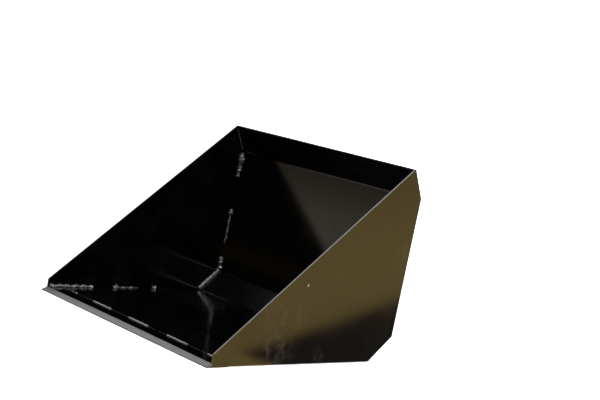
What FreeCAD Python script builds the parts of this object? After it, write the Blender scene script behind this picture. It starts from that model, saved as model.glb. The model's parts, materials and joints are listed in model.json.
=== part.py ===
import FreeCAD
import Part
import math
import os

os.makedirs("parts", exist_ok=True)

V = FreeCAD.Vector

# Skid steer bucket, millimetres, resting flat on level ground.
# +X runs across the width, +Y back towards the machine, +Z up.
# Sections are drawn in the YZ plane with Y = 0 at the front edge of the side
# plates, and every piece is moved forward at the end so that the origin is the
# middle of the footprint, on the ground.

# Overall
WIDTH = 900.0
SHEET = 6.0
HALF_WIDTH = WIDTH / 2
INNER_HALF = HALF_WIDTH - SHEET

# Cutting edge: a flat bar bevelled on its top front corner
EDGE_THICK = 12.0
EDGE_BEVEL = 20.0
EDGE_NOSE = 3.0
EDGE_REAR = 60.0

# Inner line of the bent wrapper sheet, from the cutting edge round to the rim
FLOOR_Z = EDGE_THICK
FLOOR_END = 645.0
HEEL_RUN = 84.0
HEEL_RISE = 74.0
BACK_LEAN = 14.0
BACK_RISE = 451.0
LIP_RUN = 49.0
LIP_RISE = 91.0
BEND_RADIUS = 12.0

# Side plates, standing a little lower than the floor sheet's underside
SIDE_FRONT_TOP = 40.0
SIDE_DROP = 3.0

# Wear strips under the floor
STRIP_WIDTH = 50.0
STRIP_PITCH = 290.0
STRIP_START = 76.0
STRIP_END = 636.0
STRIP_THICK = FLOOR_Z - SHEET
STRIP_NAMES = {"right": -1, "centre": 0, "left": 1}

# Machine receiver on the back
MOUNT_PLATE = 10.0
MOUNT_HALF = 260.0
FACE_Y = 790.0
FACE_TOP = 345.0
LEDGE_TOP = 150.0
LEDGE_REAR = 865.0
HOOK_UNDER = 370.0
HOOK_BEND_Y = 800.0
HOOK_TIP_Y = 820.0
HOOK_TIP_Z = 350.0
HOOK_RADIUS = 4.0
RIB_THICK = 8.0
RIB_X = 90.0
GUSSET_X = 150.0
GUSSET_DROP = 52.0
GUSSET_REACH = 70.0
GUSSET_NOSE = 12.0
LOCK_HOLE_R = 14.0
LOCK_HOLE_X = 200.0
LOCK_HOLE_Y = FACE_Y + 47.0
CHEEK_DROP = 12.0
CHEEK_TOP = HOOK_UNDER + MOUNT_PLATE + 10.0
CHEEK_NOSE = 15.0
CHEEK_LOW_TOP = 22.0
CHEEK_WAIST_Y = FACE_Y + 8.0
CHEEK_WAIST_LOW = LEDGE_TOP + 75.0
CHEEK_WAIST_HIGH = HOOK_TIP_Z - 22.0
CHEEK_HOOK_Y = HOOK_TIP_Y + 12.0
CHEEK_HOOK_LOW = HOOK_TIP_Z - 4.0
CHEEK_HOOK_HIGH = CHEEK_TOP - 16.0
CHEEK_SHOULDER_Y = HOOK_BEND_Y + 12.0

# Welds
WELD_GAP = 0.3
INNER_LEG = 8.0
# Weld stretches in each inner corner, as distances along the floor, heel, back and lip
CORNER_WELDS = [
    [(4.0, 180.0), (262.0, 372.0), (428.0, 460.0)],
    [(7.0, 105.0)],
    [(7.0, 54.0), (100.0, 234.0), (354.0, 446.0)],
    [(6.0, 92.0)],
]
UNDER_LEG = 5.0
STITCH_WIDTH = 12.0
STITCH_HEIGHT = 3.0
STITCH_LENGTH = 100.0
STITCH_PITCH = 203.0
STITCH_COUNT = 5
MOUNT_LEG = 7.0
STRIP_LEG = 4.0
STRIP_STITCH = 50.0
STRIP_STITCH_PITCH = 170.0
STRIP_STITCH_COUNT = 3
RIB_STITCH = 60.0
RIB_STITCH_COUNT = 2
WELD_BULGE = 0.58

# Derived corner points of the wrapper's inner line, as (Y, Z)
HEEL_Y = FLOOR_END + HEEL_RUN
HEEL_Z = FLOOR_Z + HEEL_RISE
LIP_Y = HEEL_Y + BACK_LEAN
LIP_Z = HEEL_Z + BACK_RISE
RIM_Y = LIP_Y - LIP_RUN
RIM_Z = LIP_Z + LIP_RISE
UNDERSIDE_Z = FLOOR_Z - SHEET
WRAPPER_LINE = [
    (EDGE_REAR, FLOOR_Z),
    (FLOOR_END, FLOOR_Z),
    (HEEL_Y, HEEL_Z),
    (LIP_Y, LIP_Z),
    (RIM_Y, RIM_Z),
]

# Middle of the footprint between the cutting tip and the ledge's rear edge
MIDDLE_Y = (LEDGE_REAR - EDGE_BEVEL) / 2


def point(y, z, x=0.0):
    """A point of a section drawn in the plane at X = x."""
    return V(x, y, z)


def unit(start, end):
    """Direction from one (Y, Z) point to another, and its right-hand normal."""
    dy = end[0] - start[0]
    dz = end[1] - start[1]
    size = math.hypot(dy, dz)
    return (dy / size, dz / size), (dz / size, -dy / size)


def rounded_line(corners, radius, offset):
    """Edges of a bent line, moved to its right by offset, with its bends as arcs.

    radius is the bend radius on the line itself, so the offset line bends
    about the same centres.
    """
    edges = []
    last = None
    for index, corner in enumerate(corners):
        before = corners[max(index - 1, 0)]
        after = corners[min(index + 1, len(corners) - 1)]
        if index in (0, len(corners) - 1):
            normal = unit(before, after)[1]
            here = point(corner[0] + normal[0] * offset, corner[1] + normal[1] * offset)
            if last is not None:
                edges.append(Part.LineSegment(last, here).toShape())
            last = here
            continue
        way_in, normal_in = unit(before, corner)
        way_out, normal_out = unit(corner, after)
        turn = math.acos(way_in[0] * way_out[0] + way_in[1] * way_out[1])
        cut = radius * math.tan(turn / 2)
        centre_y = corner[0] - way_in[0] * cut - normal_in[0] * radius
        centre_z = corner[1] - way_in[1] * cut - normal_in[1] * radius
        reach = radius + offset
        middle = unit((0.0, 0.0), (normal_in[0] + normal_out[0], normal_in[1] + normal_out[1]))[0]
        start = point(centre_y + normal_in[0] * reach, centre_z + normal_in[1] * reach)
        bulge = point(centre_y + middle[0] * reach, centre_z + middle[1] * reach)
        end = point(centre_y + normal_out[0] * reach, centre_z + normal_out[1] * reach)
        edges.append(Part.LineSegment(last, start).toShape())
        edges.append(Part.Arc(start, bulge, end).toShape())
        last = end
    return edges


def ends(edges):
    """First and last point of a run of edges drawn head to tail."""
    wire = Part.Wire(edges)
    return wire.OrderedVertexes[0].Point, wire.OrderedVertexes[-1].Point


def sharp_line(corners, offset):
    """Corner points of a bent line moved to its right by offset, with no rounding."""
    normals = [unit(start, end)[1] for start, end in zip(corners, corners[1:])]
    points = []
    for (y, z), before, after in zip(corners, normals[:1] + normals, normals + normals[-1:]):
        share = offset / (1.0 + before[0] * after[0] + before[1] * after[1])
        points.append((y + (before[0] + after[0]) * share, z + (before[1] + after[1]) * share))
    return points


def across(wire, x_low, x_high):
    """Solid from a closed YZ outline, running across the width between two X values."""
    face = Part.Face(wire)
    face.translate(V(x_low, 0, 0))
    return face.extrude(V(x_high - x_low, 0, 0))


def plate(outline, x_low, x_high):
    """Flat plate from a straight-sided (Y, Z) outline, standing between two X values."""
    corners = [point(y, z) for y, z in outline]
    return across(Part.makePolygon(corners + corners[:1]), x_low, x_high)


def bent_sheet(corners, radius, thickness, half_width):
    """Sheet bent along a line, with its thickness to the line's right."""
    inner = rounded_line(corners, radius, 0.0)
    outer = rounded_line(corners, radius, thickness)
    inner_start, inner_end = ends(inner)
    outer_start, outer_end = ends(outer)
    closing = [
        Part.LineSegment(inner_end, outer_end).toShape(),
        Part.LineSegment(outer_start, inner_start).toShape(),
    ]
    wire = Part.Wire(Part.__sortEdges__(inner + outer + closing))
    return across(wire, -half_width, half_width)


def fillet_bead(start, end, side_a, side_b, leg):
    """Fillet weld along a straight corner, between two faces leaving it along a and b."""
    toe_a = start + side_a * leg
    toe_b = start + side_b * leg
    crown = start + (side_a + side_b) * (leg * WELD_BULGE)
    edges = [
        Part.LineSegment(start, toe_a).toShape(),
        Part.Arc(toe_a, crown, toe_b).toShape(),
        Part.LineSegment(toe_b, start).toShape(),
    ]
    return Part.Face(Part.Wire(edges)).extrude(end - start)


def back_outer(z):
    """Y of the back sheet's rear face at a height."""
    lean = BACK_LEAN / BACK_RISE
    return HEEL_Y + (z - HEEL_Z) * lean + SHEET * math.hypot(1.0, lean)


def save(name, shape):
    """Move a piece into the part's frame and write it."""
    moved = shape.copy()
    moved.translate(V(0, -MIDDLE_Y, 0))
    moved.exportStep("parts/" + name + ".step")


def both_sides(name, left_shape):
    """Write a left-hand piece and its mirror image on the right."""
    save(name + "_left", left_shape)
    save(name + "_right", left_shape.mirror(V(0, 0, 0), V(1, 0, 0)))


def side_plate():
    """Left end plate, standing on the cutting edge and following the wrapper's outside."""
    line = [
        (EDGE_REAR, FLOOR_Z - SIDE_DROP),
        (FLOOR_END - SIDE_DROP * HEEL_RUN / HEEL_RISE, FLOOR_Z - SIDE_DROP),
    ] + WRAPPER_LINE[2:]
    front = [
        (RIM_Y, RIM_Z),
        (0.0, SIDE_FRONT_TOP),
        (0.0, EDGE_THICK),
        (EDGE_REAR, EDGE_THICK),
    ]
    return plate(sharp_line(line, SHEET) + front, INNER_HALF, HALF_WIDTH)


def corner_beads():
    """Welds in the corner between the left side plate and the wrapper and cutting edge."""
    line = [(0.0, FLOOR_Z)] + WRAPPER_LINE[1:]
    beads = []
    for start, end, stretches in zip(line, line[1:], CORNER_WELDS):
        way, normal = unit(start, end)
        inward = V(0, -normal[0], -normal[1])
        along = V(0, way[0], way[1])
        corner = point(start[0], start[1], INNER_HALF)
        for low, high in stretches:
            bead_start = corner + along * low
            bead_end = corner + along * high
            beads.append(fillet_bead(bead_start, bead_end, inward, V(-1, 0, 0), INNER_LEG))
    return Part.makeCompound(beads)


def stitch(x_low, x_high):
    """Low rounded weld dash lying over the joint behind the cutting edge."""
    half = STITCH_WIDTH / 2
    front = point(EDGE_REAR - half, FLOOR_Z)
    crown = point(EDGE_REAR, FLOOR_Z + STITCH_HEIGHT)
    rear = point(EDGE_REAR + half, FLOOR_Z)
    wire = Part.Wire([Part.Arc(front, crown, rear).toShape(), Part.LineSegment(rear, front).toShape()])
    return across(wire, x_low, x_high)


def edge_stitches():
    """The row of dashes, the outer two ending at the side plates' corner welds."""
    limit = INNER_HALF - INNER_LEG - 2 * WELD_GAP
    dashes = []
    for index in range(STITCH_COUNT):
        centre = (index - (STITCH_COUNT - 1) / 2) * STITCH_PITCH
        low = max(centre - STITCH_LENGTH / 2, -limit)
        high = min(centre + STITCH_LENGTH / 2, limit)
        dashes.append(stitch(low, high))
    return Part.makeCompound(dashes)


def stations(first, last, length, count):
    """Start and end of evenly spaced stretches of one length between two limits."""
    step = (last - first - length) / (count - 1)
    return [(first + step * index, first + step * index + length) for index in range(count)]


def strip_welds(side):
    """Dashes along both sides of one wear strip."""
    centre = side * STRIP_PITCH
    beads = []
    for low, high in stations(STRIP_START, STRIP_END, STRIP_STITCH, STRIP_STITCH_COUNT):
        for way in (-1, 1):
            x = centre + way * STRIP_WIDTH / 2
            start = point(low, UNDERSIDE_Z, x)
            end = point(high, UNDERSIDE_Z, x)
            beads.append(fillet_bead(start, end, V(way, 0, 0), V(0, 0, -1), STRIP_LEG))
    return beads


def cheek():
    """Left end plate of the receiver, shaped round the ledge and the hook."""
    low = LEDGE_TOP - MOUNT_PLATE - CHEEK_DROP
    outline = [
        (back_outer(low), low),
        (LEDGE_REAR - CHEEK_NOSE, low),
        (LEDGE_REAR, low + CHEEK_NOSE),
        (LEDGE_REAR, LEDGE_TOP + CHEEK_LOW_TOP),
        (CHEEK_WAIST_Y, CHEEK_WAIST_LOW),
        (CHEEK_WAIST_Y, CHEEK_WAIST_HIGH),
        (CHEEK_HOOK_Y, CHEEK_HOOK_LOW),
        (CHEEK_HOOK_Y, CHEEK_HOOK_HIGH),
        (CHEEK_SHOULDER_Y, CHEEK_TOP),
        (back_outer(CHEEK_TOP), CHEEK_TOP),
    ]
    return plate(outline, MOUNT_HALF, MOUNT_HALF + MOUNT_PLATE)


def rib():
    """Left upright between the back sheet and the receiver face."""
    rear = FACE_Y - MOUNT_PLATE
    outline = [
        (back_outer(LEDGE_TOP), LEDGE_TOP),
        (rear, LEDGE_TOP),
        (rear, HOOK_UNDER),
        (back_outer(HOOK_UNDER), HOOK_UNDER),
    ]
    return plate(outline, RIB_X - RIB_THICK / 2, RIB_X + RIB_THICK / 2)


def gusset():
    """Left triangular bracket under the ledge."""
    top = LEDGE_TOP - MOUNT_PLATE
    low = top - GUSSET_DROP
    outline = [
        (back_outer(low), low),
        (back_outer(low) + GUSSET_NOSE, low),
        (back_outer(top) + GUSSET_REACH, top - GUSSET_NOSE),
        (back_outer(top) + GUSSET_REACH, top),
        (back_outer(top), top),
    ]
    return plate(outline, GUSSET_X - RIB_THICK / 2, GUSSET_X + RIB_THICK / 2)


def ledge():
    """Flat shelf at the foot of the receiver with a hole for each lock pin."""
    low = LEDGE_TOP - MOUNT_PLATE
    front = back_outer(LEDGE_TOP)
    outline = [(front, low), (LEDGE_REAR, low), (LEDGE_REAR, LEDGE_TOP), (front, LEDGE_TOP)]
    shelf = plate(outline, -MOUNT_HALF, MOUNT_HALF)
    for x in (-LOCK_HOLE_X, LOCK_HOLE_X):
        hole = Part.makeCylinder(LOCK_HOLE_R, 2 * MOUNT_PLATE, point(LOCK_HOLE_Y, low - MOUNT_PLATE / 2, x))
        shelf = shelf.cut(hole)
    return shelf


def upright_welds(x_faces, low, high, length, count):
    """Dashes down the back sheet beside upright plates, given each face and its outward way."""
    beads = []
    up = (point(back_outer(high), high) - point(back_outer(low), low)).normalize()
    rearward = V(0, up.z, -up.y)
    for x, way in x_faces:
        for start_z, end_z in stations(low, high, length, count):
            start = point(back_outer(start_z), start_z, x)
            end = start + up * (end_z - start_z)
            beads.append(fillet_bead(start, end, V(way, 0, 0), rearward, MOUNT_LEG))
    return beads


def across_welds(y, z, side_a, side_b, x_stops):
    """Beads running across the width in one corner, one between each pair of X stops."""
    beads = []
    for low, high in x_stops:
        beads.append(fillet_bead(point(y, z, low), point(y, z, high), side_a, side_b, MOUNT_LEG))
    return beads


# Bowl
save("bucket_shell", bent_sheet(WRAPPER_LINE, BEND_RADIUS, SHEET, INNER_HALF))
both_sides("side_plate", side_plate())
save("cutting_edge", plate(
    [
        (-EDGE_BEVEL, 0.0),
        (EDGE_REAR, 0.0),
        (EDGE_REAR, EDGE_THICK),
        (0.0, EDGE_THICK),
        (-EDGE_BEVEL, EDGE_NOSE),
    ],
    -HALF_WIDTH,
    HALF_WIDTH,
))
both_sides("inner_corner_weld", corner_beads())
save("edge_stitch_welds", edge_stitches())
save("edge_underside_weld", fillet_bead(
    point(EDGE_REAR, UNDERSIDE_Z, -INNER_HALF),
    point(EDGE_REAR, UNDERSIDE_Z, INNER_HALF),
    V(0, 1, 0),
    V(0, 0, -1),
    UNDER_LEG,
))

# Wear strips
strip_beads = []
for side_name, side_sign in STRIP_NAMES.items():
    strip_low = side_sign * STRIP_PITCH - STRIP_WIDTH / 2
    strip_high = side_sign * STRIP_PITCH + STRIP_WIDTH / 2
    save("wear_strip_" + side_name, plate(
        [
            (STRIP_START, 0.0),
            (STRIP_END, 0.0),
            (STRIP_END, STRIP_THICK),
            (STRIP_START, STRIP_THICK),
        ],
        strip_low,
        strip_high,
    ))
    strip_beads.extend(strip_welds(side_sign))
save("wear_strip_welds", Part.makeCompound(strip_beads))

# Receiver
save("mount_face_plate", plate(
    [
        (FACE_Y - MOUNT_PLATE, LEDGE_TOP),
        (FACE_Y, LEDGE_TOP),
        (FACE_Y, FACE_TOP),
        (FACE_Y - MOUNT_PLATE, FACE_TOP),
    ],
    -MOUNT_HALF,
    MOUNT_HALF,
))
save("mount_hook", bent_sheet(
    [
        (HOOK_TIP_Y, HOOK_TIP_Z),
        (HOOK_BEND_Y, HOOK_UNDER),
        (back_outer(HOOK_UNDER + MOUNT_PLATE), HOOK_UNDER),
    ],
    HOOK_RADIUS,
    MOUNT_PLATE,
    MOUNT_HALF,
))
save("mount_ledge", ledge())
both_sides("mount_cheek", cheek())
both_sides("mount_rib", rib())
both_sides("ledge_gusset", gusset())

# Receiver welds
cheek_out = MOUNT_HALF + MOUNT_PLATE
save("cheek_welds", Part.makeCompound(upright_welds(
    [(-cheek_out, -1), (cheek_out, 1)],
    LEDGE_TOP,
    HOOK_UNDER,
    RIB_STITCH,
    RIB_STITCH_COUNT,
)))
rib_out = RIB_X + RIB_THICK / 2
save("rib_welds", Part.makeCompound(upright_welds(
    [(-rib_out, -1), (rib_out, 1)],
    LEDGE_TOP + MOUNT_LEG,
    HOOK_UNDER - MOUNT_LEG,
    RIB_STITCH,
    RIB_STITCH_COUNT,
)))
hook_top = HOOK_UNDER + MOUNT_PLATE
save("hook_weld", Part.makeCompound(across_welds(
    back_outer(hook_top) + WELD_GAP,
    hook_top,
    V(0, 1, 0),
    V(0, 0, 1),
    [(-MOUNT_HALF, MOUNT_HALF)],
)))
ledge_low = LEDGE_TOP - MOUNT_PLATE
gusset_in = GUSSET_X - RIB_THICK / 2
gusset_out = GUSSET_X + RIB_THICK / 2
save("ledge_weld", Part.makeCompound(across_welds(
    back_outer(ledge_low),
    ledge_low,
    V(0, 1, 0),
    V(0, 0, -1),
    [
        (-MOUNT_HALF, -gusset_out),
        (-gusset_in, gusset_in),
        (gusset_out, MOUNT_HALF),
    ],
)))
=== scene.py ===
import json
import math

import bmesh
import bpy
import numpy as np
from mathutils import Matrix, Vector


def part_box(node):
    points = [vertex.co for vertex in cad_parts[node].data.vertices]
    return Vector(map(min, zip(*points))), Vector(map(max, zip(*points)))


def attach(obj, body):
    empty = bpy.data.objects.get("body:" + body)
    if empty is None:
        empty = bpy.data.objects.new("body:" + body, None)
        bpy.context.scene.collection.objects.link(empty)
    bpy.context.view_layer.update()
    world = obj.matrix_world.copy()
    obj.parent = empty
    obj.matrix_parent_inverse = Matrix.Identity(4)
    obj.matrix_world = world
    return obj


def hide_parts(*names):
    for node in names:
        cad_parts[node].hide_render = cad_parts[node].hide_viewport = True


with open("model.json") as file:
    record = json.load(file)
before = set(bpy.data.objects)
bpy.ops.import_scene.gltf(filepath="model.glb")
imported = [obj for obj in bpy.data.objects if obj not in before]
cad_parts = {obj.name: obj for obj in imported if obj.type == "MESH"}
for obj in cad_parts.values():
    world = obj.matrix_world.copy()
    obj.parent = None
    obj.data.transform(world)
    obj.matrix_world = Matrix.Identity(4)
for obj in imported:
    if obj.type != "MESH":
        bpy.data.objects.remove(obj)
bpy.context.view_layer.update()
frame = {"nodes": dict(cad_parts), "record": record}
rng = np.random.default_rng(573)
nodes = frame["nodes"]
MM = 0.001

# The wrapper's inner line: how far each flat runs back and rises
WRAPPER_FLATS = [
    (645 * MM, 0 * MM),  # floor, from the side plates' front edge
    (84 * MM, 74 * MM),  # heel
    (14 * MM, 451 * MM),  # back
    (-49 * MM, 91 * MM),  # lip
]
SHEET = 6 * MM

shell_low, shell_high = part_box("bucket_shell")
_, edge_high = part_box("cutting_edge")
side_low, side_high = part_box("side_plate_left")
FRONT_Y = side_low.y
JOINT_Y = edge_high.y
FLOOR_Z = edge_high.z
INNER_X = shell_high.x


# ---------------------------------------------------------------- weld beads

RIPPLE = 6.0 * MM
RINGS_PER_RIPPLE = 7
ARC_POINTS = 9
SUNK = 0.25 * MM  # how far a bead's root sits inside the joint
CRESCENT = 0.8  # how far a ripple's middle runs ahead of its ends, in ripples
BLOB = 0.45  # unevenness from ripple to ripple
END_SHARE = 0.35  # size of a bead's very end
END_LENGTH = 0.6  # length of its rounded end, in legs
SWELL_PITCH = 34 * MM
TOE_A_PITCH = 19 * MM
TOE_B_PITCH = 23 * MM
FILLET_SWELL = 0.20
FILLET_RIPPLE = 0.14
TOE_BLOB = 0.5  # how much of that unevenness moves the toes
DRIFT_SHARES = (0.5, 0.3, 0.2)
DRIFT_RATIO = 1.9
DRIFT_TURN = 2.3
DRIFT_SHIFT = 1.7
PHASE_RANGE = 6.28
TOE_A_PHASE = 2.0
TOE_B_PHASE = 4.1
DROPLET_FLATNESS = 0.6


def drift(s, pitch, phase):
    """Slow random drift along a bead, about -1 to 1."""
    total = np.zeros_like(s)
    for k, share in enumerate(DRIFT_SHARES):
        turns = s * DRIFT_RATIO ** k / pitch
        shift = phase * (k + 1) * DRIFT_TURN + DRIFT_SHIFT * k
        total += share * np.sin(2 * math.pi * turns + shift)
    return total


def skin_rings(bm, rings):
    """Faces between each ring of points and the next."""
    around = len(rings[0])
    for first, second in zip(rings, rings[1:]):
        for k in range(around):
            n = (k + 1) % around
            bm.faces.new((first[k], first[n], second[n], second[k]))


def add_bead(bm, start, end, side_a, side_b, out, leg, height, ripple, wild=0.12):
    """One straight weld bead with curved ripples.

    side_a and side_b run from the joint to the bead's two toes, out is the way
    it swells, leg the toe distance, height the swell over the chord, ripple
    how far each ripple stands over the one before and wild its unevenness.
    """
    start, end = Vector(start), Vector(end)
    a, b, out = Vector(side_a), Vector(side_b), Vector(out).normalized()
    length = (end - start).length
    count = max(8, int(round(length / RIPPLE * RINGS_PER_RIPPLE)))
    s = np.linspace(0.0, length, count + 1)
    phase = rng.uniform(0, PHASE_RANGE)
    swell = 1 + wild * drift(s, SWELL_PITCH, phase)
    toe_a = drift(s, TOE_A_PITCH, phase + TOE_A_PHASE)
    toe_b = drift(s, TOE_B_PITCH, phase + TOE_B_PHASE)
    blobs = rng.uniform(-1, 1, int(length / RIPPLE) + 4)
    taper = np.clip(np.minimum(s, length - s) / (END_LENGTH * leg), 0.0, 1.0)
    taper = np.sqrt(1 - (1 - taper) ** 2)
    rings = []
    for i in range(count + 1):
        here = start.lerp(end, s[i] / length)
        size = leg * (END_SHARE + (1 - END_SHARE) * taper[i]) * swell[i]
        ring = []
        for k in range(ARC_POINTS):
            u = k / (ARC_POINTS - 1)
            lens = 4 * u * (1 - u)
            crescent = s[i] / RIPPLE + CRESCENT * lens
            cell = int(crescent)
            blob = blobs[min(cell, len(blobs) - 1)]
            step = math.sqrt(max(0.0, 1 - (crescent - cell))) * (1 + BLOB * blob)
            reach_a = (1 - u) * size * (1 + wild * (toe_a[i] + TOE_BLOB * blob) * (1 - lens))
            reach_b = u * size * (1 + wild * (toe_b[i] - TOE_BLOB * blob) * (1 - lens))
            lift = lens * taper[i] * (height * swell[i] + ripple * (step - 0.5))
            ring.append(bm.verts.new(here + a * reach_a + b * reach_b + out * lift))
        ring.append(bm.verts.new(here - out * SUNK))
        rings.append(ring)
    skin_rings(bm, rings)
    bm.faces.new(rings[0][::-1])
    bm.faces.new(rings[-1])


def add_fillet(bm, start, end, side_a, side_b, leg, wild=0.12):
    """Bead in a square corner between two faces."""
    out = Vector(side_a) + Vector(side_b)
    add_bead(bm, start, end, side_a, side_b, out, leg, FILLET_SWELL * leg, FILLET_RIPPLE * leg, wild)


def add_spatter(bm, place, normal, size):
    """A droplet of weld spatter stuck to a face."""
    ball = bmesh.ops.create_icosphere(bm, subdivisions=1, radius=size)
    turn = Vector((0, 0, 1)).rotation_difference(Vector(normal)).to_matrix().to_4x4()
    squash = Matrix.Diagonal((1.0, 1.0, DROPLET_FLATNESS, 1.0))
    bmesh.ops.transform(bm, matrix=Matrix.Translation(place) @ turn @ squash, verts=ball["verts"])


def smooth_object(bm, name):
    """Turn a bmesh into a smooth-shaded object in the scene."""
    mesh = bpy.data.meshes.new(name)
    bm.to_mesh(mesh)
    bm.free()
    mesh.shade_smooth()
    obj = bpy.data.objects.new(name, mesh)
    bpy.context.scene.collection.objects.link(obj)
    return obj


def finish_mesh(bm, name, material, node):
    """Make a piece that stands for a weld node."""
    bmesh.ops.recalc_face_normals(bm, faces=bm.faces)
    obj = smooth_object(bm, name)
    obj.data.materials.append(material)
    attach(obj, "root")
    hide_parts(node)


# ----------------------------------------------------------- material helpers

def new_material(name, kind="ShaderNodeBsdfPrincipled"):
    mat = bpy.data.materials.new(name)
    mat.use_nodes = True
    tree = mat.node_tree
    tree.nodes.clear()
    out = tree.nodes.new("ShaderNodeOutputMaterial")
    shader = tree.nodes.new(kind)
    tree.links.new(shader.outputs[0], out.inputs[0])
    return mat, tree, shader


def own_coords(tree):
    """Places in the shared frame, which every object's own coordinates are."""
    return tree.nodes.new("ShaderNodeTexCoord").outputs["Object"]


def noise(tree, coords, scale, detail=3.0, rough=0.55, stretch=None):
    """Noise from 0 to 1, with scale features to a metre."""
    node = tree.nodes.new("ShaderNodeTexNoise")
    node.inputs["Scale"].default_value = scale
    node.inputs["Detail"].default_value = detail
    node.inputs["Roughness"].default_value = rough
    source = coords
    if stretch:
        mapping = tree.nodes.new("ShaderNodeMapping")
        mapping.inputs["Scale"].default_value = stretch
        tree.links.new(coords, mapping.inputs["Vector"])
        source = mapping.outputs[0]
    tree.links.new(source, node.inputs["Vector"])
    return node.outputs["Fac"]


def remap(tree, value, low, high, to_low, to_high, smooth=False):
    node = tree.nodes.new("ShaderNodeMapRange")
    if smooth:
        node.interpolation_type = "SMOOTHSTEP"
    node.inputs["From Min"].default_value = low
    node.inputs["From Max"].default_value = high
    node.inputs["To Min"].default_value = to_low
    node.inputs["To Max"].default_value = to_high
    tree.links.new(value, node.inputs["Value"])
    return node.outputs[0]


def feed(tree, sockets, values):
    """Link each value that comes from a node, and set each plain one."""
    for socket, value in zip(sockets, values):
        if isinstance(value, (int, float, tuple)):
            socket.default_value = value
        else:
            tree.links.new(value, socket)


def maths(tree, kind, first, second):
    node = tree.nodes.new("ShaderNodeMath")
    node.operation = kind
    node.use_clamp = kind != "SUBTRACT"
    feed(tree, node.inputs, (first, second))
    return node.outputs[0]


def blend(tree, kind, sockets, output, values):
    """A Mix node of one data type, by the numbers of that type's sockets."""
    node = tree.nodes.new("ShaderNodeMix")
    node.data_type = kind
    feed(tree, [node.inputs[number] for number in sockets], values)
    return node.outputs[output]


def blend_colour(tree, factor, first, second):
    return blend(tree, "RGBA", (0, 6, 7), 2, (factor, first, second))


def blend_value(tree, factor, first, second):
    return blend(tree, "FLOAT", (0, 2, 3), 0, (factor, first, second))


def bump(tree, height, strength, distance, base=None):
    node = tree.nodes.new("ShaderNodeBump")
    node.inputs["Strength"].default_value = strength
    node.inputs["Distance"].default_value = distance
    tree.links.new(height, node.inputs["Height"])
    if base is not None:
        tree.links.new(base, node.inputs["Normal"])
    return node.outputs[0]


def split_axes(tree, vector):
    """X, Y and Z of a vector, by name."""
    split = tree.nodes.new("ShaderNodeSeparateXYZ")
    tree.links.new(vector, split.inputs[0])
    return split.outputs


def normal_of(tree):
    return tree.nodes.new("ShaderNodeNewGeometry").outputs["Normal"]


def edge_mask(tree, radius):
    """1 on the sharp edges of a solid, 0 on its flats."""
    bevel = tree.nodes.new("ShaderNodeBevel")
    bevel.samples = 4
    bevel.inputs["Radius"].default_value = radius
    dot = tree.nodes.new("ShaderNodeVectorMath")
    dot.operation = "DOT_PRODUCT"
    tree.links.new(bevel.outputs[0], dot.inputs[0])
    tree.links.new(normal_of(tree), dot.inputs[1])
    return remap(tree, dot.outputs["Value"], 0.995, 0.80, 0.0, 1.0)


def facing(tree, axis):
    """How far the surface faces along one axis of the shared frame."""
    return split_axes(tree, normal_of(tree))[axis]


def distance(tree, coords, place=(0.0, 0.0, 0.0)):
    gap = tree.nodes.new("ShaderNodeVectorMath")
    gap.operation = "DISTANCE"
    gap.inputs[1].default_value = place
    tree.links.new(coords, gap.inputs[0])
    return gap.outputs["Value"]


# ----------------------------------------------------------------- materials

PAINT = (0.0003, 0.00025, 0.0003, 1.0)
# Weld base lighter than the paint: partly dust on the welds, partly painted sheen standing in for the
# highlights their ripples catch
WELD_DUST_AND_SHEEN = (0.016, 0.0155, 0.015, 1.0)
BARE = (0.34, 0.335, 0.33, 1.0)
DUST = (0.16, 0.135, 0.10, 1.0)
BARE_ROUGH = 0.42
DUST_ROUGHENS = 0.8
PAINT_IOR = 1.5
WAVE_DEPTH = 6 * MM
PEEL_DEPTH = 0.25 * MM

# Sizes of the paint's patterns, in features to a metre
WAVE_SCALE = 3.2
PATCH_SCALE = 9.0
RUB_SCALE = 38.0
PEEL_SCALE = 120.0
SPECK_SCALE = 420.0


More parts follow.
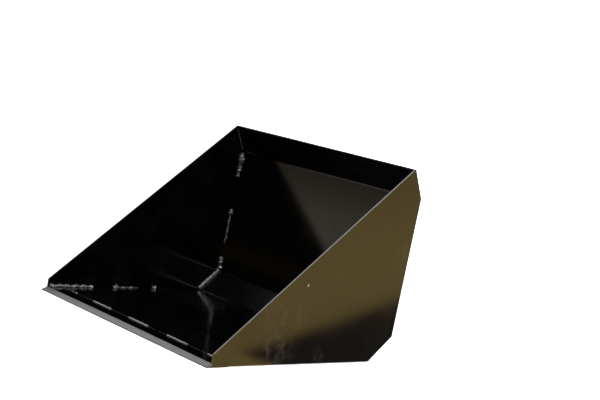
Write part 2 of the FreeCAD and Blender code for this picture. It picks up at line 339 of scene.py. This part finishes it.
def gloss_paint(
    name, rough_low, rough_high, wave, peel, wear, dust,
    edge_radius=0.8 * MM, marks=(), tint=PAINT,
):
    """Black gloss paint over steel, rubbed on its edges, with a thin film of dust.

    wave is the sheet's slight waviness, peel the paint's orange peel, wear how
    much the edges are rubbed. marks are places where something has been wiped
    off on the paint: a point, a radius and how dusty it is.
    """
    mat, tree, shader = new_material(name)
    coords = own_coords(tree)
    patchy = noise(tree, coords, PATCH_SCALE, 4.0)
    fine = noise(tree, coords, PEEL_SCALE, 3.0)
    rub = noise(tree, coords, RUB_SCALE, 5.0, 0.7)
    edges = edge_mask(tree, edge_radius)
    chips = maths(tree, "MULTIPLY", edges, remap(tree, rub, 0.50, 0.62, 0.0, 1.0))
    chips = maths(tree, "MULTIPLY", chips, wear)
    film = remap(tree, facing(tree, "Z"), 0.2, 1.0, 0.15, 1.0)
    film = maths(tree, "MULTIPLY", film, remap(tree, patchy, 0.42, 0.78, 0.0, dust))
    specks = remap(tree, noise(tree, coords, SPECK_SCALE, 1.0), 0.755, 0.80, 0.0, 0.35)
    specks = maths(tree, "MULTIPLY", specks, remap(tree, patchy, 0.5, 0.7, 0.0, 0.5))
    film = maths(tree, "ADD", film, specks)
    for place, radius, amount in marks:
        spot = remap(tree, distance(tree, coords, place), radius, 0.5 * radius, 0.0, 1.0)
        smear = maths(tree, "MULTIPLY", spot, remap(tree, rub, 0.42, 0.66, 0.0, amount))
        film = maths(tree, "ADD", film, smear)
    colour = blend_colour(tree, film, tint, DUST)
    colour = blend_colour(tree, chips, colour, BARE)
    tree.links.new(colour, shader.inputs["Base Color"])
    rough = remap(tree, patchy, 0.3, 0.7, rough_low, rough_high)
    rough = maths(tree, "ADD", rough, maths(tree, "MULTIPLY", film, DUST_ROUGHENS))
    rough = blend_value(tree, chips, rough, BARE_ROUGH)
    tree.links.new(rough, shader.inputs["Roughness"])
    tree.links.new(chips, shader.inputs["Metallic"])
    shader.inputs["IOR"].default_value = PAINT_IOR
    wavy = bump(tree, noise(tree, coords, WAVE_SCALE, 1.0), wave, WAVE_DEPTH)
    peeled = bump(tree, fine, peel, PEEL_DEPTH, wavy)
    tree.links.new(peeled, shader.inputs["Normal"])
    return mat


STEEL_DARK = (0.045, 0.043, 0.0425, 1.0)
STEEL_LIGHT = (0.085, 0.082, 0.081, 1.0)
STEEL_STAIN = (0.030, 0.027, 0.024, 1.0)
# Darker steel for the bar's forward-facing nose: painted shade, not a different steel
STEEL_NOSE_SHADE = (0.018, 0.016, 0.014, 1.0)
STEEL_METALLIC = 0.6
SCRAPE_MIDDLE = 5.0 * MM  # how far behind the bevel the paint is gone, mid width
SCRAPE_ENDS = 0.5 * MM
SCRAPE_RAGGED = 0.9 * MM
STAIN_START_X = -0.37
STAIN_FULL_X = -0.44
RAGGED_SCALE = 60.0
STAIN_SCALE = 26.0
LONG_STRETCH = (14.0, 420.0, 420.0)
CROSS_STRETCH = (520.0, 26.0, 26.0)
SCRATCH_DEPTH = 0.2 * MM


def worn_edge_steel(name):
    """Cutting edge: gloss-painted bar, scraped to bare steel from its bevel forward."""
    mat, tree, shader = new_material(name)
    coords = own_coords(tree)
    place = split_axes(tree, coords)
    ragged = noise(tree, coords, RAGGED_SCALE, 5.0, 0.65)
    long_marks = noise(tree, coords, 1.0, 4.0, 0.6, LONG_STRETCH)
    cross_marks = noise(tree, coords, 1.0, 3.0, 0.6, CROSS_STRETCH)
    patchy = noise(tree, coords, PATCH_SCALE, 4.0)
    bow = maths(tree, "MULTIPLY", place["X"], place["X"])
    reach = remap(tree, bow, 0.0, INNER_X ** 2, SCRAPE_MIDDLE, SCRAPE_ENDS)
    reach = maths(tree, "ADD", reach, remap(tree, ragged, 0.3, 0.7, 0.0, SCRAPE_RAGGED))
    behind = maths(tree, "SUBTRACT", place["Y"], reach)
    bare = remap(tree, behind, FRONT_Y + 0.3 * MM, FRONT_Y - 0.5 * MM, 0.0, 1.0)
    rubbed = remap(tree, ragged, 0.52, 0.64, 0.0, 0.7)
    bare = maths(tree, "MAXIMUM", bare, maths(tree, "MULTIPLY", edge_mask(tree, 0.8 * MM), rubbed))
    # Painted shade: faces turned towards -Y, the bar's front nose, are darkened
    nose_shade = remap(tree, facing(tree, "Y"), -0.70, -0.95, 0.0, 0.85)
    stain = remap(tree, noise(tree, coords, STAIN_SCALE, 5.0, 0.7), 0.50, 0.72, 0.0, 0.45)
    stained_end = remap(tree, place["X"], STAIN_START_X, STAIN_FULL_X, 0.0, 0.6)
    stain = maths(tree, "ADD", stain, stained_end)
    grain = remap(tree, long_marks, 0.3, 0.7, 0.0, 1.0)
    steel = blend_colour(tree, grain, STEEL_DARK, STEEL_LIGHT)
    steel = blend_colour(tree, stain, steel, STEEL_STAIN)
    steel = blend_colour(tree, nose_shade, steel, STEEL_NOSE_SHADE)
    tree.links.new(blend_colour(tree, bare, PAINT, steel), shader.inputs["Base Color"])
    tree.links.new(maths(tree, "MULTIPLY", bare, STEEL_METALLIC), shader.inputs["Metallic"])
    glossy = remap(tree, patchy, 0.3, 0.7, 0.09, 0.14)
    scraped = remap(tree, cross_marks, 0.3, 0.7, 0.42, 0.66)
    tree.links.new(blend_value(tree, bare, glossy, scraped), shader.inputs["Roughness"])
    scratches = maths(tree, "MULTIPLY", bare, maths(tree, "ADD", long_marks, cross_marks))
    tree.links.new(bump(tree, scratches, 0.35, SCRATCH_DEPTH), shader.inputs["Normal"])
    return mat


def on_left_plate(share_y, share_z):
    """A point on the left side plate's outer face, by its share of the plate's length and height."""
    reach = side_high - side_low
    return (side_high.x, side_low.y + share_y * reach.y, side_low.z + share_z * reach.z)


# One pale speck, then faint wiped smudges
SIDE_MARKS = [
    (on_left_plate(0.428, 0.389), 5 * MM, 1.0),
    (on_left_plate(0.948, 0.574), 34 * MM, 0.07),
    (on_left_plate(0.320, 0.065), 75 * MM, 0.08),
    (on_left_plate(0.557, 0.040), 30 * MM, 0.07),
    (on_left_plate(0.290, 0.235), 60 * MM, 0.055),
    (on_left_plate(0.420, 0.240), 50 * MM, 0.05),
]

shell_paint = gloss_paint("shell_gloss_black", 0.10, 0.16, 0.10, 0.03, 0.8, 0.004)
side_paint = gloss_paint("side_gloss_black", 0.10, 0.14, 0.05, 0.03, 0.8, 0.07, marks=SIDE_MARKS)
mount_paint = gloss_paint("mount_gloss_black", 0.14, 0.24, 0.06, 0.10, 0.9, 0.02)
# Welds take the lighter base: part dust, part painted sheen
weld_paint = gloss_paint("weld_gloss_black", 0.16, 0.28, 0.02, 0.25, 0.6, 0.02, tint=WELD_DUST_AND_SHEEN)
strip_paint = gloss_paint("strip_worn_black", 0.28, 0.42, 0.05, 0.20, 1.0, 0.10, 1.4 * MM)
edge_steel = worn_edge_steel("cutting_edge_worn")

NODE_MATERIALS = {
    "shell_paint": shell_paint,
    "side_paint": side_paint,
    "mount_paint": mount_paint,
    "weld_paint": weld_paint,
    "strip_steel": strip_paint,
    "edge_steel": edge_steel,
}
SLOTS = {entry["node"]: entry["material_slot"] for entry in frame["record"]["subparts"]}
SEAM_GAP = 0.01 * MM
EDGE_ROUNDING = 0.6 * MM
SHARP_ANGLE = math.radians(25)

for name, obj in nodes.items():
    obj.data.materials.clear()
    obj.data.materials.append(NODE_MATERIALS[SLOTS[name]])
    if "weld" in name:
        continue
    seams = obj.modifiers.new("join_seams", "WELD")
    seams.merge_threshold = SEAM_GAP
    round_over = obj.modifiers.new("soft_edges", "BEVEL")
    round_over.width = EDGE_ROUNDING
    round_over.segments = 2
    round_over.limit_method = "ANGLE"
    round_over.angle_limit = SHARP_ANGLE
    round_over.harden_normals = True


# --------------------------------------------------------------- bead pieces

# Stretches of weld along floor, heel, back and lip: from and to in millimetres,
# share of the full leg, unevenness
CORNER_WELDS = [
    [
        (4, 62, 1.2, 0.25), (58, 180, 0.95, 0.35), (262, 280, 1.6, 0.3),
        (276, 372, 0.6, 0.35), (430, 450, 1.5, 0.3),
    ],
    [(0, 112, 1.35, 0.12)],
    [
        (0, 54, 1.4, 0.3), (100, 222, 0.65, 0.4), (212, 234, 1.5, 0.3),
        (354, 410, 1.3, 0.35), (402, 446, 1.9, 0.4),
    ],
    [(6, 92, 0.25, 0.1)],
]
CORNER_LEG = 8 * MM
MOUNT_LEG = 7 * MM
STRIP_LEG = 4 * MM
UNDER_LEG = 5 * MM

# Spatter beside the corner welds, millimetres
SPATTER_SPACING = 14
SPATTER_OVERRUN = 10
SPATTER_NEAR = 11
SPATTER_FAR = 34
SPATTER_SMALL = 0.5
SPATTER_LARGE = 1.3

# Dashes over the joint behind the cutting edge
DASH_COUNT = 5
DASH_PITCH = 203 * MM
DASH_HALF = 52 * MM
DASH_LEG = 6.5 * MM
DASH_HEIGHT = 3.4 * MM
DASH_RIPPLE = 0.5 * MM
CORNER_CLEAR = 8.6 * MM

STRIP_DASH = 50 * MM
STRIP_DASHES = 3
UPRIGHT_DASH = 60 * MM
UPRIGHT_DASHES = 2


def section_points():
    """Corners of the wrapper's inner line, from the side plates' front to the rim."""
    points = [Vector((0, FRONT_Y, FLOOR_Z))]
    for run, rise in WRAPPER_FLATS:
        points.append(points[-1] + Vector((0, run, rise)))
    return points


def corner_beads(side, sign):
    """Beads and spatter in the corner between one side plate and the wrapper."""
    bm = bmesh.new()
    inward_x = Vector((-sign, 0, 0))
    points = section_points()
    for start, end, stretches in zip(points, points[1:], CORNER_WELDS):
        way = (end - start).normalized()
        inward = Vector((0, -way.z, way.y))
        corner = start + Vector((sign * INNER_X, 0, 0))
        for low, high, share, wild in stretches:
            add_fillet(
                bm, corner + way * low * MM, corner + way * high * MM,
                inward, inward_x, CORNER_LEG * share, wild,
            )
            for _ in range(int((high - low) / SPATTER_SPACING)):
                spot = rng.uniform(low - SPATTER_OVERRUN, high + SPATTER_OVERRUN) * MM
                along = corner + way * spot
                away = rng.uniform(SPATTER_NEAR, SPATTER_FAR) * MM
                size = rng.uniform(SPATTER_SMALL, SPATTER_LARGE) * MM
                if rng.uniform() < 0.5:
                    add_spatter(bm, along + inward * away, inward_x, size)
                else:
                    add_spatter(bm, along + inward_x * away, inward, size)
    finish_mesh(bm, "corner_bead_" + side, weld_paint, "inner_corner_weld_" + side)


def edge_beads():
    """Dashes on top of the cutting edge's joint, and the full weld under it."""
    bm = bmesh.new()
    limit = INNER_X - CORNER_CLEAR
    for index in range(DASH_COUNT):
        centre = (index - (DASH_COUNT - 1) / 2) * DASH_PITCH
        low = max(centre - DASH_HALF, -limit)
        high = min(centre + DASH_HALF, limit)
        add_bead(
            bm, (low, JOINT_Y, FLOOR_Z), (high, JOINT_Y, FLOOR_Z),
            (0, -1, 0), (0, 1, 0), (0, 0, 1), DASH_LEG, DASH_HEIGHT, DASH_RIPPLE,
        )
    finish_mesh(bm, "edge_joint_beads", weld_paint, "edge_stitch_welds")
    bm = bmesh.new()
    z = shell_low.z
    add_fillet(bm, (-INNER_X, JOINT_Y, z), (INNER_X, JOINT_Y, z), (0, 1, 0), (0, 0, -1), UNDER_LEG)
    finish_mesh(bm, "edge_under_bead", weld_paint, "edge_underside_weld")


def stations(first, last, length, count):
    """Start and end of evenly spaced stretches of one length between two limits."""
    step = (last - first - length) / (count - 1)
    return [(first + step * k, first + step * k + length) for k in range(count)]


def strip_beads():
    """Dashes along both sides of each wear strip."""
    bm = bmesh.new()
    for strip in ("wear_strip_left", "wear_strip_centre", "wear_strip_right"):
        low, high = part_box(strip)
        for y_low, y_high in stations(low.y, high.y, STRIP_DASH, STRIP_DASHES):
            for x, way in ((low.x, -1), (high.x, 1)):
                start, end = (x, y_low, high.z), (x, y_high, high.z)
                add_fillet(bm, start, end, (way, 0, 0), (0, 0, -1), STRIP_LEG)
    finish_mesh(bm, "strip_beads", weld_paint, "wear_strip_welds")


def back_line():
    """A point on the back sheet's rear face, the way up it and the way out of it."""
    points = section_points()
    up = (points[3] - points[2]).normalized()
    out = Vector((0, up.z, -up.y))
    return points[2] + out * SHEET, up, out


def back_point(z, x):
    """The point of the back sheet's rear face at one height and width."""
    base, up, _ = back_line()
    spot = base + up * ((z - base.z) / up.z)
    return Vector((x, spot.y, spot.z))


def upright_beads(name, node, faces, low, high):
    """Dashes up the back sheet beside upright plates, given each face's X and its way out."""
    bm = bmesh.new()
    _, up, out = back_line()
    for x, way in faces:
        for z_low, z_high in stations(low, high, UPRIGHT_DASH, UPRIGHT_DASHES):
            start = back_point(z_low, x)
            add_fillet(bm, start, start + up * (z_high - z_low), (way, 0, 0), out, MOUNT_LEG)
    finish_mesh(bm, name, weld_paint, node)


def across_beads(name, node, z, up_way, stretches):
    """Beads across the width, where a flat plate meets the back sheet."""
    bm = bmesh.new()
    y = back_point(z, 0).y
    for low, high in stretches:
        add_fillet(bm, (low, y, z), (high, y, z), (0, 1, 0), (0, 0, up_way), MOUNT_LEG)
    finish_mesh(bm, name, weld_paint, node)


def receiver_beads():
    """All the welds that hold the receiver to the back sheet."""
    ledge_low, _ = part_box("mount_ledge")
    _, hook_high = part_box("mount_hook")
    rib_low, rib_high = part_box("mount_rib_left")
    gusset_low, gusset_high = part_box("ledge_gusset_left")
    cheek_low, cheek_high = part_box("mount_cheek_left")
    cheek = cheek_high.x
    half = cheek_low.x
    upright_beads("cheek_beads", "cheek_welds", [(-cheek, -1), (cheek, 1)], rib_low.z, rib_high.z)
    upright_beads(
        "rib_beads", "rib_welds", [(-rib_high.x, -1), (rib_high.x, 1)],
        rib_low.z + MOUNT_LEG, rib_high.z - MOUNT_LEG,
    )
    across_beads("hook_bead", "hook_weld", hook_high.z, 1, [(-half, half)])
    across_beads("ledge_beads", "ledge_weld", ledge_low.z, -1, [
        (-half, -gusset_high.x), (-gusset_low.x, gusset_low.x), (gusset_high.x, half),
    ])


for side_name, side_sign in (("left", 1), ("right", -1)):
    corner_beads(side_name, side_sign)
edge_beads()
strip_beads()
receiver_beads()


# ---------------------------------------------------------------- the studio

# Round floor with a wall all the way round, metres
FLOOR_RADIUS = 8.0
FLOOR_CURVE = 3.0
WALL_TOP = 9.0
CURVE_STEPS = 12
FLOOR_SIDES = 48
FLOOR_TONES = ((0.84, 0.84, 0.835, 1.0), (0.87, 0.87, 0.865, 1.0))
FLOOR_GLOW = (1.0, 1.0, 0.99, 1.0)
GLOW_UNDER_PART = 0.42
GLOW_STARTS = 1.5
GLOW_FULL = 6.0


def round_backdrop():
    """Pale floor that curves up into a wall all the way round."""
    profile = [(0.02, 0.0), (FLOOR_RADIUS, 0.0)]
    for k in range(1, CURVE_STEPS + 1):
        angle = math.pi / 2 * k / CURVE_STEPS
        radius = FLOOR_RADIUS + FLOOR_CURVE * math.sin(angle)
        profile.append((radius, FLOOR_CURVE * (1 - math.cos(angle))))
    profile.append((FLOOR_RADIUS + FLOOR_CURVE, WALL_TOP))
    bm = bmesh.new()
    turns = [2 * math.pi * k / FLOOR_SIDES for k in range(FLOOR_SIDES)]
    rings = []
    for radius, height in profile:
        rings.append([bm.verts.new((radius * math.cos(t), radius * math.sin(t), height)) for t in turns])
    bm.faces.new(rings[0])
    skin_rings(bm, rings)
    obj = smooth_object(bm, "studio_floor")
    obj.visible_glossy = False
    mat, tree, shader = new_material("pale_floor")
    coords = own_coords(tree)
    tone = remap(tree, noise(tree, coords, 0.6, 2.0), 0.3, 0.7, 0.0, 1.0)
    tree.links.new(blend_colour(tree, tone, *FLOOR_TONES), shader.inputs["Base Color"])
    shader.inputs["Roughness"].default_value = 0.9
    shader.inputs["Specular IOR Level"].default_value = 0.1
    shader.inputs["Emission Color"].default_value = FLOOR_GLOW
    glow = remap(tree, distance(tree, coords), GLOW_STARTS, GLOW_FULL, GLOW_UNDER_PART, 1.0, True)
    tree.links.new(glow, shader.inputs["Emission Strength"])
    obj.data.materials.append(mat)


def mirrored_only(name, corners):
    """A flat studio surface that is out of sight and only shows in the paint's gloss."""
    mesh = bpy.data.meshes.new(name)
    mesh.from_pydata(corners, [], [tuple(range(len(corners)))])
    obj = bpy.data.objects.new(name, mesh)
    bpy.context.scene.collection.objects.link(obj)
    obj.visible_camera = False
    obj.visible_diffuse = False
    obj.visible_shadow = False
    obj.visible_transmission = False
    obj.visible_volume_scatter = False
    mat, tree, glow = new_material(name, "ShaderNodeEmission")
    mesh.materials.append(mat)
    return tree, glow


def square(size):
    """Corners of a square in its own plane."""
    half = size / 2
    return [(-half, -half), (half, -half), (half, half), (-half, half)]


GROUND_SIZE = 120.0
GROUND_Z = -0.002
OLIVE_NEAR = (1.58, 1.15, 0.41, 1.0)
OLIVE_FAR = (1.20, 0.88, 0.31, 1.0)
SHADED_GROUND = (0.135, 0.12, 0.095, 1.0)
GROUND_AHEAD = (0.06, 0.05, 0.04, 1.0)
GREY_NEAR = (0.76, 0.66, 0.52, 1.0)
GREY_FAR = (0.25, 0.21, 0.16, 1.0)
SHADE_SLANT = -0.478  # how far the shade's border moves in X for each metre back


def reflection_mat():
    """What the paint mirrors of the ground.

    It is olive on the +X side, with a shaded patch close to the bucket and dark
    ground ahead, and warm grey on the -X side.
    """
    corners = [(x, y, GROUND_Z) for x, y in square(GROUND_SIZE)]
    tree, glow = mirrored_only("reflection_mat", corners)
    coords = own_coords(tree)
    place = split_axes(tree, coords)
    slant = tree.nodes.new("ShaderNodeMath")
    slant.operation = "MULTIPLY_ADD"
    feed(tree, slant.inputs, (place["Y"], SHADE_SLANT, place["X"]))
    shaded = remap(tree, slant.outputs[0], 0.615, 0.75, 1.0, 0.0, True)
    half_shade = remap(tree, slant.outputs[0], 0.70, 1.15, 0.10, 0.0)
    shaded = maths(tree, "MAXIMUM", shaded, half_shade)
    shaded = maths(tree, "MULTIPLY", shaded, remap(tree, place["Y"], -0.24, -0.13, 0.0, 1.0, True))
    far = distance(tree, coords)
    olive = blend_colour(tree, remap(tree, far, 2.0, 8.0, 0.0, 1.0), OLIVE_NEAR, OLIVE_FAR)
    near_side = blend_colour(tree, shaded, olive, SHADED_GROUND)
    ahead = remap(tree, place["Y"], -1.0, -0.6, 1.0, 0.0, True)
    near_side = blend_colour(tree, ahead, near_side, GROUND_AHEAD)
    far_side = blend_colour(tree, remap(tree, far, 4.5, 11.0, 0.0, 1.0), GREY_NEAR, GREY_FAR)
    side = remap(tree, place["X"], -0.2, 0.2, 0.0, 1.0)
    tree.links.new(blend_colour(tree, side, far_side, near_side), glow.inputs[0])


AIM = Vector((0, 0, 0.2))
DIM_AIR = (0.06, 0.059, 0.057, 1.0)
BRIGHT_AIR = (3.0, 2.97, 2.92, 1.0)


def aimed(place):
    """Turn that points a card or light at the bucket."""
    return (AIM - Vector(place)).to_track_quat("-Z", "Y")


def mirrored_panel(name, place, size, strength):
    """A bright card aimed at the bucket that only shows as highlights."""
    turn = aimed(place)
    corners = [turn @ Vector((x, y, 0)) + Vector(place) for x, y in square(size)]
    _, glow = mirrored_only(name, corners)
    glow.inputs[1].default_value = strength


def soft_box(name, place, size, power):
    """A soft lamp aimed at the bucket, which doesn't show in the paint."""
    light = bpy.data.lights.new(name, "AREA")
    light.shape = "RECTANGLE"
    light.size = size
    light.size_y = size
    light.energy = power
    obj = bpy.data.objects.new(name, light)
    bpy.context.scene.collection.objects.link(obj)
    obj.location = place
    obj.rotation_mode = "QUATERNION"
    obj.rotation_quaternion = aimed(place)
    obj.visible_camera = False
    obj.visible_glossy = False


def studio_air():
    """Dim air, bright only straight overhead."""
    world = bpy.data.worlds.new("studio_air")
    bpy.context.scene.world = world
    world.use_nodes = True
    air = world.node_tree
    sky = air.nodes["Background"]
    upward = split_axes(air, air.nodes.new("ShaderNodeTexCoord").outputs["Generated"])["Z"]
    tone = remap(air, upward, 0.80, 0.98, 0.0, 1.0, True)
    air.links.new(blend_colour(air, tone, DIM_AIR, BRIGHT_AIR), sky.inputs[0])
    sky.inputs[1].default_value = 1.0


round_backdrop()
reflection_mat()
mirrored_panel("overhead_card", (1.5, -0.5, 4.3), 2.6, 10.0)
mirrored_panel("camera_side_card", (2.5, -2.5, 3.7), 2.4, 8.0)
mirrored_panel("left_card", (-3.7, 0.0, 3.4), 3.2, 3.2)
mirrored_panel("back_card", (0.5, 3.0, 3.3), 2.2, 5.0)
studio_air()
soft_box("key_light", (0.8, 2.6, 4.6), 1.2, 260)
soft_box("front_light", (3.4, -2.6, 4.0), 1.2, 160)


# ---------------------------------------------------------------- the camera

# The bucket is curled back in the view, which the camera's roll gives
AZIMUTH = math.radians(46.4499)
ELEVATION = math.radians(5.9798)
ROLL = math.radians(10.4113)
CAMERA_PLACE = (3.19013, -2.80506, 0.89922)
LENS = 78.0
SENSOR = 36.0

back = Vector((
    math.sin(AZIMUTH) * math.cos(ELEVATION),
    -math.cos(AZIMUTH) * math.cos(ELEVATION),
    math.sin(ELEVATION),
))
level = Vector((math.cos(AZIMUTH), math.sin(AZIMUTH), 0.0))
upright = back.cross(level)
right = level * math.cos(ROLL) + upright * math.sin(ROLL)
up = upright * math.cos(ROLL) - level * math.sin(ROLL)
camera = bpy.data.cameras.new("camera")
camera.lens = LENS
camera.sensor_width = SENSOR
camera_object = bpy.data.objects.new("camera", camera)
bpy.context.scene.collection.objects.link(camera_object)
turned = Matrix((right, up, back)).transposed().to_4x4()
camera_object.matrix_world = Matrix.Translation(CAMERA_PLACE) @ turned
bpy.context.scene.camera = camera_object
bpy.context.scene.view_settings.view_transform = "Standard"
